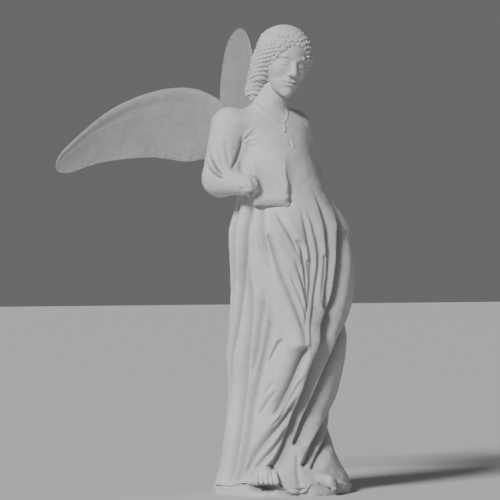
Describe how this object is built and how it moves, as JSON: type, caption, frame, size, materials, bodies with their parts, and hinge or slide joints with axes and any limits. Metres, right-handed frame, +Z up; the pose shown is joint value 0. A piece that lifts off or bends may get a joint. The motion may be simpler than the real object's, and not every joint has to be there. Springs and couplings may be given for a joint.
{
  "type": "angel statue",
  "caption": "Standing gowned angel carved in pale stone, right wing spread wide and left wing raised behind, on a low plinth that rests on a floor, pedestal or niche sill.",
  "frame": {"origin": "middle of the plinth's flat underside", "axes": "+Z up, -Y the way the figure faces, +X to the figure's left"},
  "size_m": [1.8243, 1.2981, 3.0611],
  "materials": {
    "stone": "matte"
  },
  "bodies": {
    "root": {"figure": "stone", "wing_right": "stone", "wing_left": "stone"}
  },
  "joints": []
}
